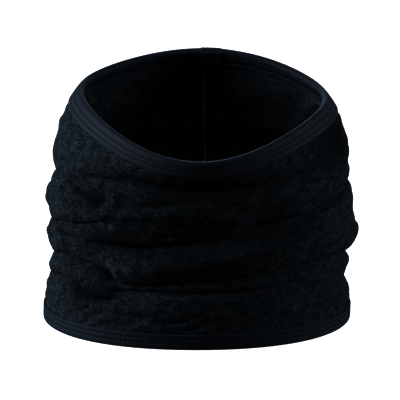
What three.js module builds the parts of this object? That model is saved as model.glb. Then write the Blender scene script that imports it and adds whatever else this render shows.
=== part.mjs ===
// Neck gaiter standing on its hem: a bunched fleece tube, bound at both ends with fold-over elastic.
// Units are millimetres. +Z is up, the front of the gaiter faces -Y and its back seam is on the +Y side.
import * as THREE from "three";

// Overall size, measured at the middle of the fleece wall. RIM_REACH is how far the rim's front and back lie
// from the tube's middle.
const HEM_WIDTH = 193;
const HEM_DEPTH = 158;
const RIM_WIDTH = 154.5;
const RIM_REACH = { front: 78.8, back: 65.3 };
const HEM_SHIFT_X = -2;
const RIM_SHIFT_X = 2.2;
const SHOULDER_POWER = 6.4;

// Height of the fleece's top edge at the front, right, back and left, and how it runs between them.
const RIM_HEIGHT = { front: 116.7, right: 141, back: 160.6, left: 146 };
const RIM_DIP_SHARPNESS = 3.4;
const RIM_TWIST = 2.3;
const RIM_BACK = { flatness: 0.8, leftDroop: 1.1 };

// Cloth and tape.
const FLEECE_THICKNESS = 2.2;
const TAPE_THICKNESS = 1;
const BINDING_HEIGHT = 8.6;
const CLOTH_GAP = 0.3;

// Each fold is a valley that runs round the tube: its height and depth at the four quarters, and its half width.
const FOLDS = [
  {
    height: { front: 98, right: 93, back: 118, left: 97 },
    depth: { front: 5, right: 8, back: 4, left: 7 },
    halfWidth: 8,
  },
  {
    height: { front: 75, right: 80, back: 84, left: 68 },
    depth: { front: 12, right: 1, back: 5, left: 6 },
    halfWidth: 9,
  },
  {
    height: { front: 46, right: 46, back: 52, left: 48 },
    depth: { front: 6, right: 7, back: 4, left: 7 },
    halfWidth: 7,
  },
  {
    height: { front: 28, right: 22, back: 27, left: 31 },
    depth: { front: 4, right: 2, back: 3, left: 3 },
    halfWidth: 6,
  },
];
const FOLD_FADE = 10;

// Stitching: two needle rows on the outer face of each binding and one looper row on its inner face.
const NEEDLE_ROWS = { upper: 3, lower: 6 };
const LOOPER_ROW = 4.5;
const THREAD_RADIUS = 0.35;
const THREAD_GAP = 0.3;
const GROOVE_DEPTH = 0.5;
const GROOVE_HALF_WIDTH = 0.6;

// Crown: the narrow flat along the fold of the tape, as a share of the binding's own thickness.
const CROWN_SHARE = 0.6;

// Back seam and the joins of the bindings, as angles from the front towards +X, in degrees.
const SEAM_ANGLE = 175.4;
const SEAM_WIDTH_ANGLE = 4.2;
const SEAM_THICKNESS = 2.4;
const SEAM_NEEDLE_SHARE = 0.2;
const SEAM_LOOPER_SHARES = [0.4, 0.85];
const TOP_JOIN = { start: 171.6, end: 181 };
const BOTTOM_JOIN = { start: 184, end: 192 };
const JOIN_RAMP = 1;

// Mesh fineness.
const UNIFORM_COLUMNS = 46;
const WALL_ROWS = 24;
const COLUMN_CLEARANCE = 2.5;
const ANGLE_STEP = 0.001;
const HEIGHT_STEP = 0.01;

// Sizes that follow from those above.
const CHANNEL_OFFSET = FLEECE_THICKNESS / 2 + CLOTH_GAP;
const FACE_OFFSET = CHANNEL_OFFSET + TAPE_THICKNESS;
const CROWN_RISE = CLOTH_GAP + TAPE_THICKNESS;
const THREAD_CENTRE = FACE_OFFSET - GROOVE_DEPTH + THREAD_GAP + THREAD_RADIUS;
const SEAM_OUTER_OFFSET = -(FLEECE_THICKNESS / 2 + CLOTH_GAP);
const SEAM_INNER_OFFSET = SEAM_OUTER_OFFSET - SEAM_THICKNESS;
const SEAM_THREAD_OFFSET = SEAM_INNER_OFFSET - THREAD_GAP - THREAD_RADIUS;

const FINISHES = {
  fleece: { color: 0x14161b, roughness: 0.98, metalness: 0 },
  seam: { color: 0x17191e, roughness: 0.97, metalness: 0 },
  tape: { color: 0x2b3038, roughness: 0.78, metalness: 0 },
  thread: { color: 0x3c424b, roughness: 0.6, metalness: 0 },
};

// Eases from 0 to 1 as value passes from low to high.
function ease(value, low, high) {
  const t = Math.min(Math.max((value - low) / (high - low), 0), 1);
  return t * t * (3 - 2 * t);
}

// A smooth value round the tube that meets the four quarter values exactly.
function around(quarters, angle) {
  const { front, right, back, left } = quarters;
  const mean = (front + right + back + left) / 4;
  const frontBack = ((front - back) / 2) * Math.cos(angle);
  const rightLeft = ((right - left) / 2) * Math.sin(angle);
  const ovality = ((front - right + back - left) / 4) * Math.cos(2 * angle);
  return mean + frontBack + rightLeft + ovality;
}

// Height of the fleece's top edge.
function rimHeight(angle) {
  const dip = RIM_DIP_SHARPNESS * (Math.cos(angle) - Math.cos(3 * angle));
  const frontShare = (1 + Math.cos(angle)) / 2;
  const quarterWave = Math.sin(2 * angle);
  const twist = RIM_TWIST * quarterWave * frontShare;
  const { flatness, leftDroop } = RIM_BACK;
  const back = (flatness * Math.cos(3 * angle) - leftDroop * quarterWave) * (1 - frontShare);
  return around(RIM_HEIGHT, angle) + dip + twist + back;
}

// How far the folds draw the wall in. It fades out before each binding.
function foldDepth(angle, z) {
  const bandEdge = rimHeight(angle) - BINDING_HEIGHT;
  const fadeIn = ease(z, BINDING_HEIGHT, BINDING_HEIGHT + FOLD_FADE);
  const fadeOut = 1 - ease(z, bandEdge - FOLD_FADE, bandEdge);
  let depth = 0;
  for (const fold of FOLDS) {
    const distance = (z - around(fold.height, angle)) / fold.halfWidth;
    depth += Math.max(around(fold.depth, angle), 0) * Math.exp(-distance * distance);
  }
  return depth * fadeIn * fadeOut;
}

// A point on the middle of the fleece wall.
function midWall(angle, z) {
  const share = Math.max(z / rimHeight(angle), 0);
  const towardsRim = share ** SHOULDER_POWER;
  const halfWidth = THREE.MathUtils.lerp(HEM_WIDTH / 2, RIM_WIDTH / 2, towardsRim);
  const rimReach = THREE.MathUtils.lerp(RIM_REACH.back, RIM_REACH.front, (1 + Math.cos(angle)) / 2);
  const halfDepth = THREE.MathUtils.lerp(HEM_DEPTH / 2, rimReach, towardsRim);
  const shiftX = THREE.MathUtils.lerp(HEM_SHIFT_X, RIM_SHIFT_X, share);
  const across = Math.sin(angle);
  const along = -Math.cos(angle);
  const inward = new THREE.Vector2(-across / halfWidth, -along / halfDepth).setLength(
    Math.max(foldDepth(angle, z), Number.EPSILON),
  );
  return new THREE.Vector3(
    shiftX + halfWidth * across + inward.x,
    halfDepth * along + inward.y,
    z,
  );
}

// A point set off from the middle of the wall, outwards when offset is positive.
function wallPoint(angle, z, offset) {
  const roundTube = midWall(angle + ANGLE_STEP, z).sub(midWall(angle - ANGLE_STEP, z));
  const upWall = midWall(angle, z + HEIGHT_STEP).sub(midWall(angle, z - HEIGHT_STEP));
  const outward = roundTube.cross(upWall).normalize();
  return midWall(angle, z).addScaledVector(outward, offset);
}

// The angles of the mesh's columns: evenly spaced, with one on each edge of the seam and of the joins.
function columnAngles() {
  const edges = [
    SEAM_ANGLE - SEAM_WIDTH_ANGLE / 2,
    SEAM_ANGLE + SEAM_WIDTH_ANGLE / 2,
  ];
  for (const join of [TOP_JOIN, BOTTOM_JOIN]) {
    edges.push(join.start - JOIN_RAMP, join.start, join.end, join.end + JOIN_RAMP);
  }
  const angles = [...edges];
  for (let i = 0; i < UNIFORM_COLUMNS; i += 1) {
    const angle = (360 * i) / UNIFORM_COLUMNS;
    if (edges.every((edge) => Math.abs(edge - angle) > COLUMN_CLEARANCE)) {
      angles.push(angle);
    }
  }
  return angles.sort((a, b) => a - b).map(THREE.MathUtils.degToRad);
}

const COLUMNS = columnAngles();

// A closed solid through a list of sections that all have the same number of corners.
// It is a ring when closed is true, and otherwise a bar with a flat cap on each end.
function loft(sections, closed) {
  const corners = sections[0].length;
  const positions = sections.flat().flatMap((corner) => corner.toArray());
  const faces = [];
  const spans = closed ? sections.length : sections.length - 1;
  for (let i = 0; i < spans; i += 1) {
    const here = i * corners;
    const next = ((i + 1) % sections.length) * corners;
    for (let j = 0; j < corners; j += 1) {
      const k = (j + 1) % corners;
      faces.push(here + j, next + j, next + k);
      faces.push(here + j, next + k, here + k);
    }
  }
  if (!closed) {
    const last = (sections.length - 1) * corners;
    for (let j = 1; j < corners - 1; j += 1) {
      faces.push(0, j, j + 1);
      faces.push(last, last + j + 1, last + j);
    }
  }
  const geometry = new THREE.BufferGeometry();
  geometry.setAttribute("position", new THREE.Float32BufferAttribute(positions, 3));
  geometry.setIndex(faces);
  geometry.computeVertexNormals();
  return geometry;
}

function mesh(name, geometry, finish) {
  const piece = new THREE.Mesh(geometry, new THREE.MeshStandardMaterial(finish));
  piece.name = name;
  return piece;
}

// Height of a wall row, as the rows are spread between the fleece's two edges.
function rowHeight(angle, row) {
  return (rimHeight(angle) * row) / WALL_ROWS;
}

// One panel of fleece, closed into a tube by the back seam.
function fleeceTube() {
  const sections = COLUMNS.map((angle) => {
    const outer = [];
    const inner = [];
    for (let row = 0; row <= WALL_ROWS; row += 1) {
      const z = rowHeight(angle, row);
      outer.push(wallPoint(angle, z, FLEECE_THICKNESS / 2));
      inner.unshift(wallPoint(angle, z, -FLEECE_THICKNESS / 2));
    }
    return [...outer, ...inner];
  });
  return mesh("fleece_tube", loft(sections, true), FINISHES.fleece);
}

// Rows of the wall that lie clear of both bindings at the seam.
function seamRows() {
  const angle = THREE.MathUtils.degToRad(SEAM_ANGLE);
  const rows = [];
  for (let row = 0; row <= WALL_ROWS; row += 1) {
    const z = rowHeight(angle, row);
    const aboveHem = z > BINDING_HEIGHT + CLOTH_GAP;
    const belowRim = z < rimHeight(angle) - BINDING_HEIGHT - CLOTH_GAP;
    if (aboveHem && belowRim) {
      rows.push(row);
    }
  }
  return rows;
}

// A point on the seam: share runs from 0 to 1 across its width.
function seamPoint(row, share, offset) {
  const half = SEAM_WIDTH_ANGLE / 2;
  const [from, to] = [-half, half].map((side) => {
    const angle = THREE.MathUtils.degToRad(SEAM_ANGLE + side);
    return wallPoint(angle, rowHeight(angle, row), offset);
  });
  return from.lerp(to, share);
}

// The two overlocked edges of the panel, lying flat against the inside of the tube.
function seamAllowance() {
  const sections = seamRows().map((row) => [
    seamPoint(row, 0, SEAM_OUTER_OFFSET),
    seamPoint(row, 0, SEAM_INNER_OFFSET),
    seamPoint(row, 1, SEAM_INNER_OFFSET),
    seamPoint(row, 1, SEAM_OUTER_OFFSET),
  ]);
  return mesh("back_seam_allowance", loft(sections, false), FINISHES.seam);
}

// A thread that climbs the inner face of the seam allowance; shareAt gives its place across it on each row.
function seamThread(name, shareAt) {
  const widthShare = THREAD_RADIUS / seamPoint(0, 0, 0).distanceTo(seamPoint(0, 1, 0));
  const sections = seamRows().map((row, index) => [
    seamPoint(row, shareAt(index), SEAM_THREAD_OFFSET + THREAD_RADIUS),
    seamPoint(row, shareAt(index) - widthShare, SEAM_THREAD_OFFSET),
    seamPoint(row, shareAt(index), SEAM_THREAD_OFFSET - THREAD_RADIUS),
    seamPoint(row, shareAt(index) + widthShare, SEAM_THREAD_OFFSET),
  ]);
  return mesh(name, loft(sections, false), FINISHES.thread);
}

// Where the tape's two ends overlap, its faces stand out by one more layer.
function joinRise(join, angle) {
  const degrees = THREE.MathUtils.radToDeg(angle);
  const rising = ease(degrees, join.start - JOIN_RAMP, join.start);
  const falling = 1 - ease(degrees, join.end, join.end + JOIN_RAMP);
  return TAPE_THICKNESS * rising * falling;
}

// The three corners of a V groove for a row of stitches. Its side is 1 on the outer face and -1 on the inner face.
function groove(row, face, side) {
  const floor = side * (face - GROOVE_DEPTH);
  return [
    [row + side * GROOVE_HALF_WIDTH, side * face],
    [row, floor],
    [row - side * GROOVE_HALF_WIDTH, side * face],
  ];
}

// Fold-over tape as a channel round the fleece's edge: corners as [distance from the edge, offset].
function bindingSection(rise) {
  const face = FACE_OFFSET + rise;
  const crown = CROWN_SHARE * face;
  return [
    [BINDING_HEIGHT, face],
    ...groove(NEEDLE_ROWS.lower, face, 1),
    ...groove(NEEDLE_ROWS.upper, face, 1),
    [0, face],
    [-CROWN_RISE, crown],
    [-CROWN_RISE, -crown],
    [0, -face],
    ...groove(LOOPER_ROW, face, -1),
    [BINDING_HEIGHT, -face],
    [BINDING_HEIGHT, -CHANNEL_OFFSET],
    [-CLOTH_GAP, -CHANNEL_OFFSET],
    [-CLOTH_GAP, CHANNEL_OFFSET],
    [BINDING_HEIGHT, CHANNEL_OFFSET],
  ];
}

// A diamond section for a thread that runs round the tube.
function threadSection(row, offset) {
  return [
    [row, offset + THREAD_RADIUS],
    [row - THREAD_RADIUS, offset],
    [row, offset - THREAD_RADIUS],
    [row + THREAD_RADIUS, offset],
  ];
}

// Sweeps a section round the tube's top edge or bottom edge.
function sweepEdge(end, sectionAt) {
  const sections = COLUMNS.map((angle) => {
    const corners = sectionAt(angle).map(([distance, offset]) => {
      const z = end.heightAt(angle, distance);
      return wallPoint(angle, z, offset);
    });
    return end.upwards ? corners : corners.reverse();
  });
  return loft(sections, true);
}

const TOP_END = {
  name: "top_binding",
  join: TOP_JOIN,
  upwards: true,
  heightAt: (angle, distance) => rimHeight(angle) - distance,
};

const BOTTOM_END = {
  name: "bottom_binding",
  join: BOTTOM_JOIN,
  upwards: false,
  heightAt: (angle, distance) => distance,
};

function binding(end) {
  const geometry = sweepEdge(end, (angle) => bindingSection(joinRise(end.join, angle)));
  return mesh(end.name, geometry, FINISHES.tape);
}

// One row of stitching in its groove: side is 1 for a needle row and -1 for the looper row.
function stitchRow(end, label, row, side) {
  const geometry = sweepEdge(end, (angle) => {
    const offset = side * (THREAD_CENTRE + joinRise(end.join, angle));
    return threadSection(row, offset);
  });
  return mesh(`${end.name}_${label}`, geometry, FINISHES.thread);
}

// A bound edge: the tape and its three threads. Rows are counted from the fold of the tape.
function boundEdge(end) {
  return [
    binding(end),
    stitchRow(end, "fold_side_stitch", NEEDLE_ROWS.upper, 1),
    stitchRow(end, "free_side_stitch", NEEDLE_ROWS.lower, 1),
    stitchRow(end, "looper_thread", LOOPER_ROW, -1),
  ];
}

// Moves every piece so that the origin is at the middle of the bottom of the gaiter's box.
function standOnOrigin(group) {
  const box = new THREE.Box3().setFromObject(group);
  const centre = box.getCenter(new THREE.Vector3());
  for (const piece of group.children) {
    piece.geometry.translate(-centre.x, -centre.y, -box.min.z);
  }
  return group;
}

function neckGaiter() {
  const group = new THREE.Group();
  group.name = "neck_gaiter";
  group.add(
    fleeceTube(),
    seamAllowance(),
    seamThread("back_seam_needle_thread", () => SEAM_NEEDLE_SHARE),
    seamThread("back_seam_looper_thread", (index) => SEAM_LOOPER_SHARES[index % 2]),
    ...boundEdge(TOP_END),
    ...boundEdge(BOTTOM_END),
  );
  return standOnOrigin(group);
}

export default neckGaiter();
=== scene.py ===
"""A black fleece neck gaiter that stands bunched on its hem, bound at both ends with fold-over elastic.

Everything is in metres, in the frame of the CAD model: +Z is up, the low chin side of the rim faces -Y, and
the back seam is on the +Y side. Angles run round the tube from the front towards +X.
"""

import logging
import math
from dataclasses import dataclass, field
from enum import Enum
from typing import Callable

import bmesh
import bpy
import numpy as np
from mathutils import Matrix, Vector
from mathutils.bvhtree import BVHTree


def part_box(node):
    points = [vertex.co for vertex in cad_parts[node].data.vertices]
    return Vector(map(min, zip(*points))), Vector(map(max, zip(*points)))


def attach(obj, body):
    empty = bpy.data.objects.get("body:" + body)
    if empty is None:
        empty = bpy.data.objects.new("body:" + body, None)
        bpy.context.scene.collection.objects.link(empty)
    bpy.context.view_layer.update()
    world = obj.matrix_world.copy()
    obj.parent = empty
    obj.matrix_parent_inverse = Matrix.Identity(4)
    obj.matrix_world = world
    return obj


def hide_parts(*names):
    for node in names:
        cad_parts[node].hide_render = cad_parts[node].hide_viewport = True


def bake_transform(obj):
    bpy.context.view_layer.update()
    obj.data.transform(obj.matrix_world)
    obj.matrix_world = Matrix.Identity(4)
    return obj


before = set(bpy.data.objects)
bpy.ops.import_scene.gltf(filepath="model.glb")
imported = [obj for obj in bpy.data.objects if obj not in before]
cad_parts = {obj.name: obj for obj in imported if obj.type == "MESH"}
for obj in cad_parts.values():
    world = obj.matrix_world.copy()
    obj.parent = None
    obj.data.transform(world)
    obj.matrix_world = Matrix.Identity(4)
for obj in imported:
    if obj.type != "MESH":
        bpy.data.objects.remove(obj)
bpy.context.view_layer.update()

log = logging.getLogger("neck_gaiter")

MM = 0.001
FULL_TURN = 2 * math.pi
SEED = 11
HEM_WIDTH = 193 * MM
HEM_DEPTH = 158 * MM
SEAM_ANGLE = math.radians(175.4)

HEM_BODY = "hem"
RIM_BODY = "rim"


# ---------------------------------------------------------------- small helpers


def smoothstep(value: np.ndarray, low: float, high: float) -> np.ndarray:
    """Ease from 0 to 1 as value passes from low to high."""
    share = np.clip((value - low) / (high - low), 0.0, 1.0)
    return share * share * (3 - 2 * share)


def wrapped(angle: np.ndarray) -> np.ndarray:
    """Bring angles into the range from minus half a turn to half a turn."""
    return (angle + math.pi) % FULL_TURN - math.pi


def unit(vectors: np.ndarray) -> np.ndarray:
    """Scale each row to length 1."""
    return vectors / np.maximum(np.linalg.norm(vectors, axis=-1, keepdims=True), 1e-12)


def linear_colour(code: str) -> tuple[float, float, float, float]:
    """Turn an sRGB hex code into linear RGBA."""
    parts = [int(code.lstrip("#")[i : i + 2], 16) / 255 for i in (0, 2, 4)]
    channels = [p / 12.92 if p <= 0.04045 else ((p + 0.055) / 1.055) ** 2.4 for p in parts]
    return (*channels, 1.0)


def link_object(name: str, mesh: bpy.types.Mesh) -> bpy.types.Object:
    """Put a mesh in the scene as a named object at the origin."""
    obj = bpy.data.objects.new(name, mesh)
    bpy.context.scene.collection.objects.link(obj)
    return obj


def read_points(mesh: bpy.types.Mesh) -> np.ndarray:
    """Return the vertex positions of a mesh as rows."""
    flat = np.zeros(len(mesh.vertices) * 3)
    mesh.vertices.foreach_get("co", flat)
    return flat.reshape(-1, 3)


def write_points(mesh: bpy.types.Mesh, points: np.ndarray) -> None:
    """Set the vertex positions of a mesh from rows."""
    mesh.vertices.foreach_set("co", np.ascontiguousarray(points, dtype=np.float32).ravel())
    mesh.update()


def write_attribute(mesh: bpy.types.Mesh, name: str, values: np.ndarray) -> None:
    """Give each point of a mesh a number that a finish can read."""
    mesh.attributes.new(name, "FLOAT", "POINT").data.foreach_set("value", values.astype(np.float32))


def apply_modifiers(obj: bpy.types.Object) -> None:
    """Replace an object's mesh by its evaluated mesh and drop its modifiers."""
    depsgraph = bpy.context.evaluated_depsgraph_get()
    finished = bpy.data.meshes.new_from_object(obj.evaluated_get(depsgraph), depsgraph=depsgraph)
    obj.modifiers.clear()
    obj.data = finished


def shade_smooth(mesh: bpy.types.Mesh) -> None:
    """Shade every face of a mesh smooth."""
    mesh.polygons.foreach_set("use_smooth", [True] * len(mesh.polygons))


def patch(name: str, across: np.ndarray, along: np.ndarray, size: tuple[float, float]) -> bpy.types.Mesh:
    """Make a flat grid patch whose UV map is in metres.

    Args:
        name: the mesh's name.
        across: the places of its columns, from 0 to 1.
        along: the places of its rows, from 0 to 1.
        size: the patch's real lengths both ways, in metres.

    Returns:
        A mesh whose x and y run from 0 to 1, with UV coordinates from 0 to size.
    """
    columns, rows = len(across) - 1, len(along) - 1
    bm = bmesh.new()
    bmesh.ops.create_grid(bm, x_segments=columns, y_segments=rows, size=0.5)
    for vert in bm.verts:
        vert.co.x = across[round((vert.co.x + 0.5) * columns)]
        vert.co.y = along[round((vert.co.y + 0.5) * rows)]
    layer = bm.loops.layers.uv.new("cloth")
    for face in bm.faces:
        for loop in face.loops:
            loop[layer].uv = (loop.vert.co.x * size[0], loop.vert.co.y * size[1])
    mesh = bpy.data.meshes.new(name)
    bm.to_mesh(mesh)
    bm.free()
    return mesh


def weld(mesh: bpy.types.Mesh, closed: bool = True, distance: float = 1e-6) -> None:
    """Join the vertices of a mesh that lie in one place, and turn its faces outwards.

    Args:
        mesh: the mesh.
        closed: whether its open ends are closed with a face.
        distance: how near two vertices are joined.
    """
    bm = bmesh.new()
    bm.from_mesh(mesh)
    bmesh.ops.remove_doubles(bm, verts=bm.verts, dist=distance)
    if closed:
        bmesh.ops.holes_fill(bm, edges=bm.edges, sides=0)
    bmesh.ops.recalc_face_normals(bm, faces=bm.faces)
    bm.to_mesh(mesh)
    bm.free()
    mesh.update()


# ---------------------------------------------------------------- the form of the tube


@dataclass(frozen=True)
class Quarters:
    """A value that changes smoothly round the tube, given at its four quarters."""

    front: float
    right: float
    back: float
    left: float

    def at(self, angle: np.ndarray) -> np.ndarray:
        """Return the value at each angle."""
        mean = (self.front + self.right + self.back + self.left) / 4
        front_back = (self.front - self.back) / 2 * np.cos(angle)
        right_left = (self.right - self.left) / 2 * np.sin(angle)
        ovality = (self.front - self.right + self.back - self.left) / 4 * np.cos(2 * angle)
        return mean + front_back + right_left + ovality


HANG_PLACE = 0.9  # where the cloth over a fold sags most, as a share of the slope above its line
OVERHANG_DEPTH = 10.0  # the depth in millimetres of the fold that an overhang is given for


class Kind(Enum):
    """Whether a fold goes in, as a valley, or out, as a ridge."""

    VALLEY = -1.0
    RIDGE = 1.0


@dataclass(frozen=True)
class Fold:
    """One fold of the bunched cloth, drawn on the tube as a line.

    Attributes:
        kind: valley or ridge.
        line: points as (degrees round the tube, mm above the cloth's lower edge, mm in or out).
        above: how far its slope reaches above the line, in millimetres.
        below: how far its slope reaches below the line, in millimetres.
        overhang: how far the cloth above a line 10 mm deep sags over it, in millimetres.
        sharpness: 2 for a round fold, towards 1 for a crease.
        upright: whether the line runs up the wall, with its slopes to the right and left of it.
    """

    kind: Kind
    line: tuple[tuple[float, float, float], ...]
    above: float = 5.0
    below: float = 5.0
    overhang: float = 0.0
    sharpness: float = 1.6
    upright: bool = False

    def measure(self, angle: np.ndarray, z: np.ndarray, radius: float) -> tuple[np.ndarray, np.ndarray]:
        """Measure the fold at points of the wall.

        Args:
            angle: angles round the tube.
            z: heights above the cloth's lower edge.
            radius: the tube's mean radius.

        Returns:
            How far the cloth goes out, and how far it sags, in millimetres.
        """
        degrees, heights, sizes = np.array(self.line).T
        middle = math.radians((degrees[0] + degrees[-1]) / 2)
        here = np.degrees(wrapped(angle - middle) + middle)
        if self.upright:
            order = np.argsort(heights)
            beside = here - smooth_interp(z / MM, heights[order], degrees[order])
            distance = np.radians(beside) * radius / MM
            size = smooth_interp(z / MM, heights[order], sizes[order])
        else:
            order = np.argsort(degrees)
            distance = z / MM - smooth_interp(here, degrees[order], heights[order])
            size = smooth_interp(here, degrees[order], sizes[order])
        size = np.maximum(size, 0.0)
        reach = np.where(distance > 0, self.above, self.below)
        out = self.kind.value * size * np.exp(-np.abs(distance / reach) ** self.sharpness)
        hang = np.exp(-(((distance / self.above - HANG_PLACE) / HANG_PLACE) ** 2))
        return out, self.overhang * size / OVERHANG_DEPTH * hang


def valley(*line: tuple[float, float, float], **sizes: float | bool) -> Fold:
    """Make a valley along a line, with any of Fold's sizes."""
    return Fold(Kind.VALLEY, line, **sizes)


def ridge(*line: tuple[float, float, float], **sizes: float | bool) -> Fold:
    """Make a ridge along a line, with any of Fold's sizes."""
    return Fold(Kind.RIDGE, line, **sizes)


FOLDS: tuple[Fold, ...] = (
    # The trough under the rim, from the left flank round the front to the right flank.
    valley((-128, 98, 0), (-104, 95, 4), (-88, 94, 7), (-72, 95, 5), (-55, 98, 5), (-35, 101, 6),
           (-14, 100, 7), (8, 99, 7), (30, 101, 6), (50, 103, 5), (70, 102, 3), (95, 100, 2), (115, 103, 0),
           above=7, below=4, overhang=1.5),
    # Left: a tongue of cloth with a drop-shaped pocket in it, closed by a round lip.
    ridge((-84, 90, 0), (-68, 92, 3), (-56, 90, 3), (-46, 86, 4), (-36, 84, 4), (-25, 83, 3),
          (-12, 84, 3.5), (0, 86, 4), (12, 83, 3), (22, 80, 0), above=4.5, below=4, sharpness=1.8),
    valley((-66, 93, 0), (-58, 92, 8), (-50, 91, 14), (-43, 90, 15), (-37, 89, 0), above=3.8, below=3.4,
           overhang=5, sharpness=2.4),
    ridge((-38, 99, 0), (-35, 95, 2), (-33.5, 90, 2.5), (-35, 84, 0), above=3, below=3, sharpness=1.8,
          upright=True),
    valley((-96, 95, 0), (-80, 93, 4), (-66, 88, 6), (-54, 83, 6), (-44, 79, 4), (-34, 77, 0), above=3.5,
           below=4, overhang=3),
    # Left flank: rolls one under another, with creases between.
    ridge((-125, 78, 0), (-102, 78, 1), (-85, 78, 1.2), (-70, 79, 1), (-55, 79, 0), above=7, below=7,
          sharpness=2),
    valley((-125, 70, 0), (-105, 66, 5), (-90, 64, 8.5), (-78, 67, 7), (-68, 70.5, 6), (-56, 72.5, 6),
           (-48, 75, 6), (-40, 77, 3), (-35, 77, 0), above=3.5, below=4, overhang=4),
    ridge((-67, 71, 0), (-65, 66, 3), (-63, 60, 3), (-61, 54, 0), above=2.5, below=2.5, sharpness=1.8,
          upright=True),
    valley((-128, 50, 0), (-108, 45, 7), (-90, 44, 11), (-75, 47, 9), (-66, 50, 7), (-53, 49, 7),
           (-42, 46, 7), (-35, 41, 7), (-14, 41.5, 8), (0, 43.5, 8), (15, 45, 8), (31, 47.5, 7),
           (46, 50, 6), (60, 50, 6), (75, 48, 6), (90, 45, 7), (110, 45, 5), (128, 48, 0), above=4.2,
           below=4, overhang=4.5, sharpness=1.4),
    valley((-44, 49, 0), (-39, 46, 5), (-35, 43, 5), (-31, 42, 0), above=3, below=3, sharpness=1.8),
    # Middle: a wide trough whose upper side hangs over, and the long roll under it.
    valley((-62, 61, 0), (-49, 58, 6), (-37, 57, 10), (-24, 58, 10), (-12, 61, 10), (0, 64, 10),
           (12, 68, 9), (22, 73, 7), (32, 77, 0), above=15, below=6.5, overhang=2.5, sharpness=1.8),
    ridge((-38, 46, 0), (-30, 49, 3), (-15, 52, 4), (0, 55, 4), (15, 58, 4), (35, 60, 3), (60, 60, 2),
          (90, 58, 2), (115, 58, 0), above=6, below=7, sharpness=2),
    # Right: a band that curls under, over a narrow pocket, and the big roll below.
    valley((14, 76, 0), (24, 78, 8), (40, 79, 9), (52, 82, 9), (64, 85, 8), (78, 88, 8), (92, 89, 7),
           (110, 91, 4), (126, 93, 0), above=4.5, below=4, overhang=4),
    ridge((15, 91, 0), (30, 91, 3), (45, 93, 3.5), (60, 96, 3), (74, 98, 2), (90, 98, 0), above=4, below=4,
          sharpness=1.8),
    ridge((40, 56, 0), (62, 56, 1.5), (90, 56, 2), (118, 56, 0), above=11, below=8, sharpness=2.2),
    # Lower left and skirt.
    valley((-125, 33, 0), (-105, 30, 3), (-88, 29, 6), (-72, 33, 6), (-60, 34.5, 7), (-53, 32, 8),
           (-46, 28, 8), (-38, 26.5, 6), (-28, 27, 3), (-16, 28, 0), above=5, below=4.5, overhang=4),
    valley((-42, 33, 0), (-28, 34, 5), (-12, 35, 6), (0, 36, 6), (15, 36.5, 5), (30, 37, 3), (44, 38, 0),
           above=3.5, below=4.5, overhang=3),
    ridge((-36, 38.5, 0), (-20, 39.5, 2), (0, 40, 2.5), (20, 41, 2), (34, 42, 0), above=2.5, below=2.5,
          sharpness=1.8),
    ridge((-44, 24, 0), (-36, 24.5, 2), (-28, 24, 2), (-16, 23, 0), above=3, below=3, sharpness=1.8),
    valley((30, 31, 0), (48, 28, 3), (60, 28, 4), (80, 28, 4), (95, 28, 4.5), (112, 27, 3), (135, 24, 0),
           above=8, below=7, sharpness=2),
    # Right flank under the rim: a soft fold that leans in.
    valley((104, 140, 0), (112, 136, 4), (122, 130, 5), (132, 120, 4), (141, 109, 0), above=6, below=6,
           sharpness=1.8),
    # Back: fewer and rounder, as the cloth is less crowded there.
    valley((105, 100, 0), (130, 107, 4), (155, 110, 6), (180, 110, 6), (205, 106, 6), (230, 100, 5),
           (252, 96, 0), above=8, below=6, overhang=3),
    valley((102, 91, 0), (114, 89, 4), (128, 84, 6), (150, 82, 8), (180, 80, 9), (205, 76, 9), (225, 71, 8),
           (245, 66, 6), (262, 64, 0), above=9, below=5, overhang=4),
    valley((102, 46, 0), (118, 46, 5), (145, 43, 8), (180, 41, 8), (215, 44, 8), (240, 47, 6), (258, 47, 0),
           above=7, below=5, overhang=4),
    valley((112, 27, 0), (130, 25, 3), (165, 24, 5), (200, 24, 5), (235, 29, 4), (255, 31, 0), above=6,
           below=5, overhang=3),
    valley((118, 66, 0), (134, 63, 5), (152, 60, 5), (168, 60, 0), above=5, below=5, overhang=2),
    valley((196, 60, 0), (210, 57, 5), (230, 56, 4), (246, 58, 0), above=5, below=5, overhang=2),
    valley((186, 95, 0), (200, 92, 4), (218, 88, 4), (236, 84, 0), above=5, below=5, overhang=2),
    valley((140, 134, 0), (155, 130, 2.5), (172, 128, 2.5), (186, 129, 0), above=7, below=7, sharpness=2),
    valley((205, 128, 0), (222, 124, 3), (240, 118, 3), (256, 112, 0), above=7, below=7, sharpness=2),
)


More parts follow.
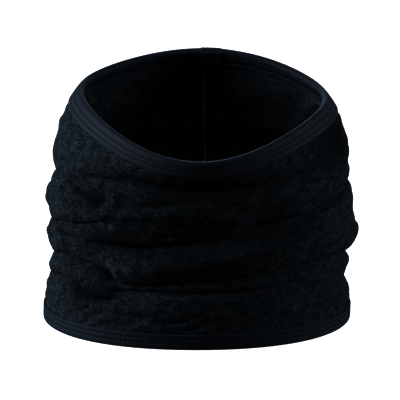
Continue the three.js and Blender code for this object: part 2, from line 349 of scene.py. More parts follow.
@dataclass(frozen=True)
class TubeForm:
    """The smooth wall of the tube and the folds on it.

    The sizes are those of the CAD model, at the middle of the cloth. The hem's centre comes from the box of
    the CAD binding, so the form stays on it. At the front, the rim rolls a little outwards, so its tape faces
    slightly down.
    """

    hem_width: float
    hem_depth: float
    hem_x: float
    hem_y: float
    rim_width: float = 154.5 * MM
    rim_front: float = 78.8 * MM
    rim_back: float = 65.3 * MM
    rim_shift_x: float = 4.2 * MM
    shoulder_power: float = 6.4
    base_z: float = 1.3 * MM
    hem_square: float = 0.025
    rim_height: Quarters = Quarters(116.7 * MM, 141 * MM, 160.6 * MM, 146 * MM)
    rim_dip: float = 3.4 * MM
    rim_twist: float = 2.3 * MM
    rim_flatness: float = 0.8 * MM
    rim_left_droop: float = 1.1 * MM
    rim_roll: float = 2.4 * MM
    rim_roll_height: float = 17 * MM
    band: float = 8.6 * MM
    fade: float = 7 * MM
    folds: tuple[Fold, ...] = FOLDS

    @classmethod
    def from_frame(cls, face_offset: float) -> "TubeForm":
        """Read the hem's place from the CAD model.

        Args:
            face_offset: how far the binding's face stands off the middle of the cloth.

        Returns:
            The form whose hem lies in the CAD binding.
        """
        low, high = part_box("bottom_binding")
        return cls(
            hem_width=HEM_WIDTH,
            hem_depth=HEM_DEPTH,
            hem_x=(low.x + high.x) / 2,
            hem_y=low.y + face_offset + HEM_DEPTH / 2,
        )

    def top(self, angle: np.ndarray) -> np.ndarray:
        """Return the height of the cloth's top edge above its bottom edge."""
        dip = self.rim_dip * (np.cos(angle) - np.cos(3 * angle))
        front_share = (1 + np.cos(angle)) / 2
        wave = np.sin(2 * angle)
        twist = self.rim_twist * wave * front_share
        back = (self.rim_flatness * np.cos(3 * angle) - self.rim_left_droop * wave) * (1 - front_share)
        return self.rim_height.at(angle) + dip + twist + back

    @property
    def mean_radius(self) -> float:
        """Return the mean radius of the hem."""
        return (self.hem_width + self.hem_depth) / 4

    def smooth_wall(self, angle: np.ndarray, z: np.ndarray) -> np.ndarray:
        """Return points on the unfolded wall, z above the cloth's bottom edge."""
        top = self.top(angle)
        share = np.maximum(z / top, 0.0)
        to_rim = share**self.shoulder_power
        half_x = (self.hem_width + (self.rim_width - self.hem_width) * to_rim) / 2
        front_share = (1 + np.cos(angle)) / 2
        reach = self.rim_back + (self.rim_front - self.rim_back) * front_share
        half_y = self.hem_depth / 2 + (reach - self.hem_depth / 2) * to_rim
        half_y += self.rim_roll * front_share**3 * smoothstep(z, top - self.rim_roll_height, top)
        square = 1 + self.hem_square * np.sin(2 * angle) ** 2 * front_share * np.clip(1 - share, 0, 1)
        x = self.hem_x + self.rim_shift_x * share + half_x * square * np.sin(angle)
        y = self.hem_y - half_y * square * np.cos(angle)
        return np.stack([x, y, z + self.base_z], axis=-1)

    def normal(self, angle: np.ndarray, z: np.ndarray) -> np.ndarray:
        """Return the outward normals of the unfolded wall."""
        turn, rise = 1e-3, 1e-5
        round_tube = self.smooth_wall(angle + turn, z) - self.smooth_wall(angle - turn, z)
        up_wall = self.smooth_wall(angle, z + rise) - self.smooth_wall(angle, z - rise)
        return unit(np.cross(round_tube, up_wall))

    def off_wall(self, angle: np.ndarray, z: np.ndarray, offset: np.ndarray) -> np.ndarray:
        """Return points set off from the unfolded wall, outwards where offset is positive."""
        return self.smooth_wall(angle, z) + self.normal(angle, z) * np.asarray(offset)[..., None]

    def fold_shape(self, angle: np.ndarray, z: np.ndarray) -> tuple[np.ndarray, np.ndarray]:
        """Measure the folds at points of the unfolded wall.

        Args:
            angle: angles round the tube.
            z: heights above the cloth's bottom edge.

        Returns:
            How far the cloth goes out, and how far it sags down, at each point.
        """
        radius = (self.hem_width + self.hem_depth) / 4
        measures = [fold.measure(angle, z, radius) for fold in self.folds]
        out = sum(fold_out for fold_out, _ in measures) * MM
        sag = sum(fold_sag for _, fold_sag in measures) * MM
        top = self.top(angle)
        free = smoothstep(z, self.band, self.band + self.fade) * (
            1 - smoothstep(z, top - self.band - self.fade, top - self.band)
        )
        return out * free, sag * free

    def folded_wall(self, angle: np.ndarray, z: np.ndarray) -> np.ndarray:
        """Return points on the middle of the folded cloth."""
        out, sag = self.fold_shape(angle, z)
        points = self.smooth_wall(angle, z)
        level = self.normal(angle, z)
        level[..., 2] = 0.0
        points += unit(level) * out[..., None]
        points[..., 2] -= sag
        return points


def smooth_interp(x: np.ndarray, xs: np.ndarray, ys: np.ndarray) -> np.ndarray:
    """Interpolate with a smooth curve through the points, constant beyond the ends."""
    slopes = np.gradient(ys, xs)
    clipped = np.clip(x, xs[0], xs[-1])
    i = np.clip(np.searchsorted(xs, clipped, side="right") - 1, 0, len(xs) - 2)
    step = xs[i + 1] - xs[i]
    t = (clipped - xs[i]) / step
    leave, leave_slope = (1 + 2 * t) * (1 - t) ** 2, t * (1 - t) ** 2
    reach, reach_slope = t * t * (3 - 2 * t), t * t * (t - 1)
    from_left = leave * ys[i] + leave_slope * step * slopes[i]
    return from_left + reach * ys[i + 1] + reach_slope * step * slopes[i + 1]


# ---------------------------------------------------------------- finishes


def add_node(
    tree: bpy.types.NodeTree, kind: str, settings: dict | None = None, links: dict | None = None
) -> bpy.types.Node:
    """Add a shader node.

    Args:
        tree: the node tree.
        kind: the node's type name.
        settings: values by attribute name, or by input name or number.
        links: output sockets by input name or number.

    Returns:
        The node.
    """
    made = tree.nodes.new(kind)
    for key, value in (settings or {}).items():
        if isinstance(key, str) and hasattr(made, key):
            setattr(made, key, value)
        else:
            made.inputs[key].default_value = value
    for key, socket in (links or {}).items():
        tree.links.new(socket, made.inputs[key])
    return made


def new_material(name: str) -> tuple[bpy.types.Material, bpy.types.NodeTree]:
    """Make an empty node material."""
    material = bpy.data.materials.new(name)
    material.use_nodes = True
    material.node_tree.nodes.clear()
    return material, material.node_tree


# Attribute names: how much painted shade darkens the fleece, and how strong the painted highlight on the
# tape's fold is.
SHADE_ATTRIBUTE = "painted_shade"
FOLD_HIGHLIGHT_ATTRIBUTE = "fold"


@dataclass(frozen=True)
class PaintedShadePatch:
    """Painted shade, in part fleece fibres stroked flat: a patch where the cloth is darkened towards its
    deepest colour, set where the cloth looks darkest, for shade that the lamps don't give.

    Attributes:
        degrees: where its middle is, round the tube.
        height: where its middle is, in millimetres above the cloth's lower edge.
        half_width: its reach round the tube, in millimetres.
        half_height: its reach up and down, in millimetres.
        darker: 0 for no painted shade, 1 for cloth that shows only its deepest colour.
    """

    degrees: float
    height: float
    half_width: float
    half_height: float
    darker: float

    def amount(self, angle: np.ndarray, z: np.ndarray, radius: float) -> np.ndarray:
        """Return how much darker each point of the tube is."""
        across = wrapped(angle - math.radians(self.degrees)) * radius / (self.half_width * MM)
        along = (z - self.height * MM) / (self.half_height * MM)
        return self.darker * np.exp(-(across**2) - along**2)


# Patches of painted shade, set where the cloth looks darkest: the pocket on the left, the troughs under the
# rim and across the middle, the upper right flank and a few more.
PAINTED_SHADE_PATCHES: tuple[PaintedShadePatch, ...] = (
    PaintedShadePatch(71, 121, 28, 18, 0.85),
    PaintedShadePatch(-5, 94, 36, 10, 0.65),
    PaintedShadePatch(-52, 92, 13, 5, 0.97),
    PaintedShadePatch(-43, 90.5, 9, 6.5, 0.97),
    PaintedShadePatch(-33, 65, 24, 8, 0.85),
    PaintedShadePatch(-4, 56, 44, 8, 0.6),
    PaintedShadePatch(-53, 47, 16, 6, 0.4),
    PaintedShadePatch(-44, 29, 20, 9, 0.75),
    PaintedShadePatch(61, 22, 18, 11, 0.2),
    PaintedShadePatch(37, 69, 20, 10, 0.35),
    PaintedShadePatch(138, 125, 26, 22, 0.5),
    PaintedShadePatch(0, 104, 60, 5, 0.6),
)


@dataclass(frozen=True)
class BrushedFleece:
    """Brushed polyester fleece, dyed black.

    Its napped fibres stand up in small tufts, so the eye sees a matt, grainy surface: tufts that lean
    towards the light are grey, those that lean away are black, and there is a faint bloom at glancing
    angles. Real tufts are about 0.5 mm across; they are drawn about twice as coarse, so that they show.
    A few specks of lint cling to it.
    """

    colour: str = "#2d353b"
    deep: str = "#030506"
    lint: str = "#9aa3ad"
    nap_size: float = 0.95 * MM
    tuft_size: float = 4.5 * MM
    lint_size: float = 7.0 * MM
    lint_share: float = 0.12
    lint_edge: tuple[float, float] = (0.07, 0.03)
    tuft_part: float = 0.45
    leaning: tuple[float, float] = (0.6, 0.86)
    depth: float = 0.6 * MM
    sheen: float = 0.008

    def build(self, name: str) -> bpy.types.Material:
        """Return the material under a name."""
        material, tree = new_material(name)
        uv = add_node(tree, "ShaderNodeUVMap", {"uv_map": "cloth"}).outputs["UV"]
        fine, coarse = 1 / self.nap_size, 1 / self.tuft_size
        nap_or_shade = add_node(tree, "ShaderNodeTexNoise", {"Scale": fine, "Detail": 2.0}, {"Vector": uv})
        tuft = add_node(tree, "ShaderNodeTexNoise", {"Scale": coarse, "Detail": 4.0}, {"Vector": uv})
        both = add_node(
            tree,
            "ShaderNodeMath",
            {"operation": "MULTIPLY_ADD", 1: self.tuft_part},
            {0: tuft.outputs["Fac"], 2: nap_or_shade.outputs["Fac"]},
        )
        # Painted shade: this attribute darkens the fleece's grain towards its deepest colour.
        lay_or_shade = add_node(tree, "ShaderNodeAttribute", {"attribute_name": SHADE_ATTRIBUTE})
        raised = add_node(
            tree,
            "ShaderNodeMapRange",
            {"From Min": self.leaning[0], "From Max": self.leaning[1]},
            {"Value": both.outputs["Value"]},
        )
        upright = add_node(tree, "ShaderNodeMath", {"operation": "SUBTRACT", 0: 1.0}, {1: lay_or_shade.outputs["Fac"]})
        shade = add_node(
            tree,
            "ShaderNodeMath",
            {"operation": "MULTIPLY"},
            {0: raised.outputs["Result"], 1: upright.outputs["Value"]},
        )
        dyed = add_node(
            tree,
            "ShaderNodeMix",
            {"data_type": "RGBA", 6: linear_colour(self.deep), 7: linear_colour(self.colour)},
            {"Factor": shade.outputs["Value"]},
        )
        cells = add_node(tree, "ShaderNodeTexVoronoi", {"Scale": 1 / self.lint_size}, {"Vector": uv})
        near = add_node(
            tree,
            "ShaderNodeMapRange",
            {"From Min": self.lint_edge[0], "From Max": self.lint_edge[1]},
            {"Value": cells.outputs["Distance"]},
        )
        chosen = add_node(
            tree,
            "ShaderNodeMath",
            {"operation": "LESS_THAN", 1: self.lint_share},
            {0: cells.outputs["Color"]},
        )
        speck = add_node(
            tree,
            "ShaderNodeMath",
            {"operation": "MULTIPLY"},
            {0: near.outputs["Result"], 1: chosen.outputs["Value"]},
        )
        coloured = add_node(
            tree,
            "ShaderNodeMix",
            {"data_type": "RGBA", 7: linear_colour(self.lint)},
            {"Factor": speck.outputs["Value"], 6: dyed.outputs[2]},
        )
        bump = add_node(
            tree,
            "ShaderNodeBump",
            {"Strength": 0.7, "Distance": self.depth},
            {"Height": both.outputs["Value"]},
        )
        surface = add_node(
            tree,
            "ShaderNodeBsdfPrincipled",
            {
                "Roughness": 0.95,
                "Specular IOR Level": 0.04,
                "Sheen Weight": self.sheen,
                "Sheen Roughness": 0.5,
                "Sheen Tint": linear_colour("#a9c4de"),
            },
            {"Base Color": coloured.outputs[2], "Normal": bump.outputs["Normal"]},
        )
        add_node(tree, "ShaderNodeOutputMaterial", {}, {"Surface": surface.outputs["BSDF"]})
        return material


@dataclass(frozen=True)
class FoldOverElastic:
    """Fold-over elastic tape, knitted from nylon and elastane.

    It is smoother than the fleece and a little shiny, so the eye sees fine ribs across its length, with
    painted shade in the grooves between them, and a painted highlight along its folded edge: a paler dotted
    line, strongest at the front.
    """

    colour: str = "#1c2833"
    # Painted shade: the groove colour darkens the hollows between the ribs, where the bump is low.
    groove: str = "#0a0e13"
    # The colour of the painted highlight along the folded edge.
    highlight_colour: str = "#7f8e9c"
    rib_pitch: float = 0.9 * MM
    yarn: float = 0.35 * MM
    # Where the painted highlight starts and where it is full, on the fold attribute's scale.
    highlight_from: float = 0.5
    highlight_fully: float = 0.85
    depth: float = 0.2 * MM
    sheen: float = 0.05

    def build(self) -> bpy.types.Material:
        """Return the material."""
        material, tree = new_material("fold_over_elastic")
        uv = add_node(tree, "ShaderNodeUVMap", {"uv_map": "cloth"}).outputs["UV"]
        parts = add_node(tree, "ShaderNodeSeparateXYZ", {}, {"Vector": uv})
        phase = add_node(
            tree,
            "ShaderNodeMath",
            {"operation": "MULTIPLY", 1: FULL_TURN / self.rib_pitch},
            {0: parts.outputs["X"]},
        )
        wave = add_node(tree, "ShaderNodeMath", {"operation": "SINE"}, {0: phase.outputs["Value"]})
        rib = add_node(
            tree, "ShaderNodeMapRange", {"From Min": -1.0, "From Max": 1.0}, {"Value": wave.outputs["Value"]}
        )
        yarn = add_node(tree, "ShaderNodeTexNoise", {"Scale": 1 / self.yarn, "Detail": 2.0}, {"Vector": uv})
        # Painted shade in the rib grooves: the groove colour is mixed in where the rib wave, and so the bump,
        # is low.
        mixed = add_node(
            tree,
            "ShaderNodeMix",
            {"data_type": "RGBA", 6: linear_colour(self.groove), 7: linear_colour(self.colour)},
            {"Factor": rib.outputs["Result"]},
        )
        # Painted highlight: a paler dotted line along the folded edge.
        fold = add_node(tree, "ShaderNodeAttribute", {"attribute_name": FOLD_HIGHLIGHT_ATTRIBUTE})
        fold_highlight = add_node(
            tree,
            "ShaderNodeMapRange",
            {"From Min": self.highlight_from, "From Max": self.highlight_fully},
            {"Value": fold.outputs["Fac"]},
        )
        highlight_dots = add_node(
            tree,
            "ShaderNodeMath",
            {"operation": "MULTIPLY"},
            {0: fold_highlight.outputs["Result"], 1: yarn.outputs["Fac"]},
        )
        coloured = add_node(
            tree,
            "ShaderNodeMix",
            {"data_type": "RGBA", 7: linear_colour(self.highlight_colour)},
            {"Factor": highlight_dots.outputs["Value"], 6: mixed.outputs[2]},
        )
        height = add_node(
            tree,
            "ShaderNodeMath",
            {"operation": "MULTIPLY_ADD", 1: 0.4},
            {0: yarn.outputs["Fac"], 2: rib.outputs["Result"]},
        )
        bump = add_node(
            tree,
            "ShaderNodeBump",
            {"Strength": 0.4, "Distance": self.depth},
            {"Height": height.outputs["Value"]},
        )
        surface = add_node(
            tree,
            "ShaderNodeBsdfPrincipled",
            {
                "Roughness": 0.7,
                "Specular IOR Level": 0.14,
                "Sheen Weight": self.sheen,
                "Sheen Roughness": 0.35,
                "Sheen Tint": linear_colour("#a9c0dc"),
            },
            {"Base Color": coloured.outputs[2], "Normal": bump.outputs["Normal"]},
        )
        add_node(tree, "ShaderNodeOutputMaterial", {}, {"Surface": surface.outputs["BSDF"]})
        return material


@dataclass(frozen=True)
class PolyesterThread:
    """Spun polyester sewing thread: two plies twisted together, matt, with a faint shine along each ply."""

    colour: str = "#10151a"
    ply_pitch: float = 0.8 * MM

    def build(self, name: str) -> bpy.types.Material:
        """Return the material under a name."""
        material, tree = new_material(name)
        place = add_node(tree, "ShaderNodeTexCoord").outputs["Object"]
        twist = add_node(
            tree,
            "ShaderNodeTexWave",
            {"Scale": 1 / self.ply_pitch / FULL_TURN, "Distortion": 2.0, "bands_direction": "DIAGONAL"},
            {"Vector": place},
        )
        bump = add_node(
            tree, "ShaderNodeBump", {"Strength": 0.5, "Distance": 0.1 * MM}, {"Height": twist.outputs["Fac"]}
        )
        surface = add_node(
            tree,
            "ShaderNodeBsdfPrincipled",
            {
                "Base Color": linear_colour(self.colour),
                "Roughness": 0.75,
                "Specular IOR Level": 0.15,
                "Sheen Weight": 0.02,
            },
            {"Normal": bump.outputs["Normal"]},
        )
        add_node(tree, "ShaderNodeOutputMaterial", {}, {"Surface": surface.outputs["BSDF"]})
        return material


@dataclass
class Finishes:
    """The finishes of the gaiter, each made once."""

    fleece: bpy.types.Material = field(default_factory=lambda: BrushedFleece().build("brushed_fleece"))
    cut_edge: bpy.types.Material = field(
        default_factory=lambda: BrushedFleece(colour="#1e272e", tuft_size=2 * MM).build(
            "overlocked_fleece_edge"
        )
    )
    tape: bpy.types.Material = field(default_factory=lambda: FoldOverElastic().build())
    thread: bpy.types.Material = field(default_factory=lambda: PolyesterThread().build("black_thread"))
    # Painted highlight: the back seam's needle thread is a lighter grey copy of the black thread, for light
    # caught along the seam's edge.
    painted_highlight_thread: bpy.types.Material = field(
        default_factory=lambda: PolyesterThread(colour="#8b97a4").build("overlock_thread_painted_highlight")
    )


# ---------------------------------------------------------------- fleece


@dataclass
class FleeceTube:
    """The panel of fleece, closed into a tube by the back seam and bunched between the two bindings."""

    form: TubeForm
    finishes: Finishes
    thickness: float = 2.2 * MM
    flat_width: float = 0.55
    flat_length: float = 0.2
    columns: int = 322
    rows: int = 136
    seam_columns: tuple[float, float, float] = (0.0, 0.9 * MM, 2.2 * MM)
    grip_width: float = 3 * MM
    ripple: float = 0.32 * MM
    ripple_count: int = 26
    groove_depth: float = 0.9 * MM
    groove_width: float = 0.9 * MM
    ripple_lengths: tuple[float, float] = (9 * MM, 30 * MM)
    ripple_lean: float = 1.2
    # The most painted shade that any point gets.
    most_shade: float = 0.97

    def unevenness(self, angle: np.ndarray, z: np.ndarray) -> np.ndarray:
        """Return small random swells of the cloth, as crossing waves."""
        draws = np.random.default_rng(SEED)
        total = np.zeros_like(z)
        for _ in range(self.ripple_count):
            length = draws.uniform(*self.ripple_lengths)
            lean = draws.uniform(-self.ripple_lean, self.ripple_lean)
            turns = round(FULL_TURN * self.form.mean_radius * math.sin(lean) / length)
            climb = FULL_TURN * math.cos(lean) / length
            total += np.sin(turns * angle + climb * z + draws.uniform(0, FULL_TURN))
        return total * self.ripple / math.sqrt(self.ripple_count / 2)

    def held(self, angle: np.ndarray, z: np.ndarray) -> np.ndarray:
        """Return how firmly the cloth is held: 1 inside the bindings, 0 where it is free."""
        top = self.form.top(angle)
        low = 1 - smoothstep(z, self.form.band, self.form.band + self.grip_width)
        high = smoothstep(z, top - self.form.band - self.grip_width, top - self.form.band)
        return np.maximum(low, high)

    def draw(self, columns: int, rows: int) -> tuple[bpy.types.Mesh, np.ndarray, np.ndarray]:
        """Draw the folded cloth as a single open layer.

        Args:
            columns: faces round the tube, of which two at each side of the seam are narrow.
            rows: faces up the tube.

        Returns:
            The mesh, with its painted shade as an attribute; each point's place on the flat cloth, from 0 to
            1;
            and how firmly each point is held.
        """
        near_seam = np.array(self.seam_columns) / self.flat_width
        middle = np.linspace(near_seam[-1], 1 - near_seam[-1], columns - 3)
        across = np.concatenate([near_seam[:-1], middle, 1 - near_seam[-2::-1]])
        mesh = patch("fleece", across, np.linspace(0, 1, rows + 1), (self.flat_width, self.flat_length))
        flat = read_points(mesh)[:, :2]
        angle = SEAM_ANGLE + flat[:, 0] * FULL_TURN
        z = flat[:, 1] * self.form.top(angle)
        held = self.held(angle, z)
        from_seam = np.minimum(flat[:, 0], 1 - flat[:, 0]) * self.flat_width
        groove = self.groove_depth * np.exp(-((from_seam / self.groove_width) ** 2))
        swell = (self.unevenness(angle, z) - groove) * (1 - held)
        write_points(mesh, self.form.folded_wall(angle, z) + self.form.normal(angle, z) * swell[:, None])
        # Painted shade: the listed patches are summed onto the cloth as an attribute.
        shade_amount = sum(nap_or_shade.amount(angle, z, self.form.mean_radius) for nap_or_shade in PAINTED_SHADE_PATCHES)
        write_attribute(mesh, SHADE_ATTRIBUTE, np.clip(shade_amount, 0, self.most_shade))
        return mesh, flat, held

    def build(self) -> bpy.types.Object:
        """Return the finished fleece."""
        mesh, flat, _ = self.draw(self.columns, self.rows)
        write_points(mesh, read_points(mesh) + Settling().shift(self, flat))
        weld(mesh, closed=False)
        obj = link_object("fleece", mesh)
        solidify = obj.modifiers.new("cloth", "SOLIDIFY")
        solidify.thickness = self.thickness
        solidify.offset = 0.0
        apply_modifiers(obj)
        shade_smooth(obj.data)
        obj.data.materials.append(self.finishes.fleece)
        return obj


@dataclass(frozen=True)
class Settling:
    """Lets the drawn folds settle a little, as real cloth does, with Blender's cloth simulation.

    It runs on a coarse copy of the cloth, and a share of how far that moves goes to the fine cloth.
    """

    columns: int = 132
    rows: int = 62
    frames: int = 10
    quality: int = 8
    spare: float = 0.004
    tension: float = 15.0
    bending: float = 12.0
    mass: float = 0.12
    hold: float = 0.5
    seam_hold: float = 6 * MM
    share: float = 0.4
    distance: float = 2.0 * MM
    damping: float = 8.0
    bending_damping: float = 1.0
    air_damping: float = 3.0
    gravity: float = 0.2
    friction: float = 8.0

    def shift(self, tube: "FleeceTube", places: np.ndarray) -> np.ndarray:
        """Simulate a coarse copy of the cloth.

        Args:
            tube: the fleece tube.
            places: places on the flat cloth, as rows of two numbers from 0 to 1.

        Returns:
            How far the cloth moves at each place.
        """
        mesh, flat, held = tube.draw(self.columns, self.rows)
        from_seam = np.minimum(flat[:, 0], 1 - flat[:, 0]) * tube.flat_width
        held = np.maximum(held, 1 - smoothstep(from_seam, 0.0, self.seam_hold))
        obj = link_object("settling_cloth", mesh)
        drawn = read_points(mesh)
        self.simulate(obj, np.maximum(held, self.hold))
        moved = (read_points(obj.data) - drawn).reshape(self.rows + 1, self.columns + 1, 3) * self.share
        bpy.data.objects.remove(obj)
        column = np.interp(places[:, 0], flat[: self.columns + 1, 0], np.arange(self.columns + 1))
        row = places[:, 1] * self.rows
        left = np.minimum(column.astype(int), self.columns - 1)
        low = np.minimum(row.astype(int), self.rows - 1)
        over, up = (smoothstep(share, 0.0, 1.0)[:, None] for share in (column - left, row - low))
        lower = moved[low, left] * (1 - over) + moved[low, left + 1] * over
        upper = moved[low + 1, left] * (1 - over) + moved[low + 1, left + 1] * over
        return lower * (1 - up) + upper * up

    def simulate(self, obj: bpy.types.Object, hold: np.ndarray) -> None:
        """Run the cloth simulation and keep its last frame as the object's mesh.

        Args:
            obj: the cloth.
            hold: how firmly each point is held, from 0 to 1.
        """
        group = obj.vertex_groups.new(name="held")
        for index, weight in enumerate(hold):
            group.add([index], float(weight), "REPLACE")
        cloth = obj.modifiers.new("settle", "CLOTH")
        settings = cloth.settings
        settings.quality = self.quality
        settings.mass = self.mass
        settings.tension_stiffness = settings.compression_stiffness = self.tension
        settings.shear_stiffness = self.tension / 3
        settings.bending_stiffness = self.bending
        settings.tension_damping = settings.compression_damping = settings.shear_damping = self.damping
        settings.bending_damping = self.bending_damping
        settings.air_damping = self.air_damping
        settings.vertex_group_mass = "held"
        settings.pin_stiffness = 1.0
        settings.effector_weights.gravity = self.gravity
        settings.shrink_min = settings.shrink_max = -self.spare
        cloth.collision_settings.use_collision = False
        cloth.collision_settings.use_self_collision = True
        cloth.collision_settings.self_distance_min = self.distance
        cloth.collision_settings.self_friction = self.friction
        cloth.collision_settings.collision_quality = 3
        cloth.point_cache.frame_start = 1
        cloth.point_cache.frame_end = self.frames
        for number in range(1, self.frames + 1):
            bpy.context.scene.frame_set(number)
        apply_modifiers(obj)
        bpy.context.scene.frame_set(1)


# ---------------------------------------------------------------- thread


@dataclass(frozen=True)
class Thread:
    """A sewing thread, swept along a path."""

    finish: bpy.types.Material
    radius: float = 0.25 * MM
    sides: int = 6

    def along(self, name: str, path: np.ndarray, outward: np.ndarray, closed: bool) -> bpy.types.Object:
        """Sweep the thread.

        Args:
            name: the piece's name.
            path: the points of its middle line.
            outward: the outward normal of the cloth at each point.
            closed: whether the last point leads back to the first.

        Returns:
            The finished thread.
        """
        steps = len(path) if closed else len(path) - 1
        ahead = np.roll(path, -1, axis=0) - np.roll(path, 1, axis=0)
        if not closed:
            ahead = np.gradient(path, axis=0)
        ahead = unit(ahead)
        side = unit(np.cross(ahead, outward))
        up = np.cross(side, ahead)
        length = float(np.linalg.norm(np.diff(path, axis=0), axis=1).sum())
        size = (length, FULL_TURN * self.radius)
        mesh = patch(name, np.linspace(0, 1, steps + 1), np.linspace(0, 1, self.sides + 1), size)
        flat = read_points(mesh)
        step = np.rint(flat[:, 0] * steps).astype(int) % len(path)
        turn = (flat[:, 1] * FULL_TURN)[:, None]
        write_points(mesh, path[step] + self.radius * (np.cos(turn) * up[step] + np.sin(turn) * side[step]))
        weld(mesh)
        obj = link_object(name, mesh)
        shade_smooth(mesh)
        mesh.materials.append(self.finish)
        return obj


# ---------------------------------------------------------------- bindings


class End(Enum):
    """The two bound edges of the tube."""

    TOP = "top"
    BOTTOM = "bottom"


@dataclass(frozen=True)
class Join:
    """Where the two ends of a tape overlap, from its start round to its stop."""

    start: float
    stop: float
    rise: float = 0.75 * MM
    edge: float = math.radians(0.3)
    skew: float = 0.2
    skew_length: float = math.radians(9)

    def lift(self, angle: np.ndarray) -> np.ndarray:
        """Return how much thicker the tape is at each angle."""
        turn = np.mod(angle, FULL_TURN)
        return self.rise * smoothstep(turn, self.start - self.edge, self.start) * (
            1 - smoothstep(turn, self.stop, self.stop + self.edge)
        )

    def stretch(self, angle: np.ndarray) -> np.ndarray:
        """Return how much wider the tape is at each angle, as its upper end was sewn on a little askew."""
        turn = np.mod(angle, FULL_TURN)
        return 1 + self.skew * smoothstep(turn, self.start - self.skew_length, self.start) * (
            1 - smoothstep(turn, self.start, self.start + self.edge)
        )


JOINS = {
    End.TOP: Join(math.radians(171.6), math.radians(181)),
    End.BOTTOM: Join(math.radians(184), math.radians(192)),
}


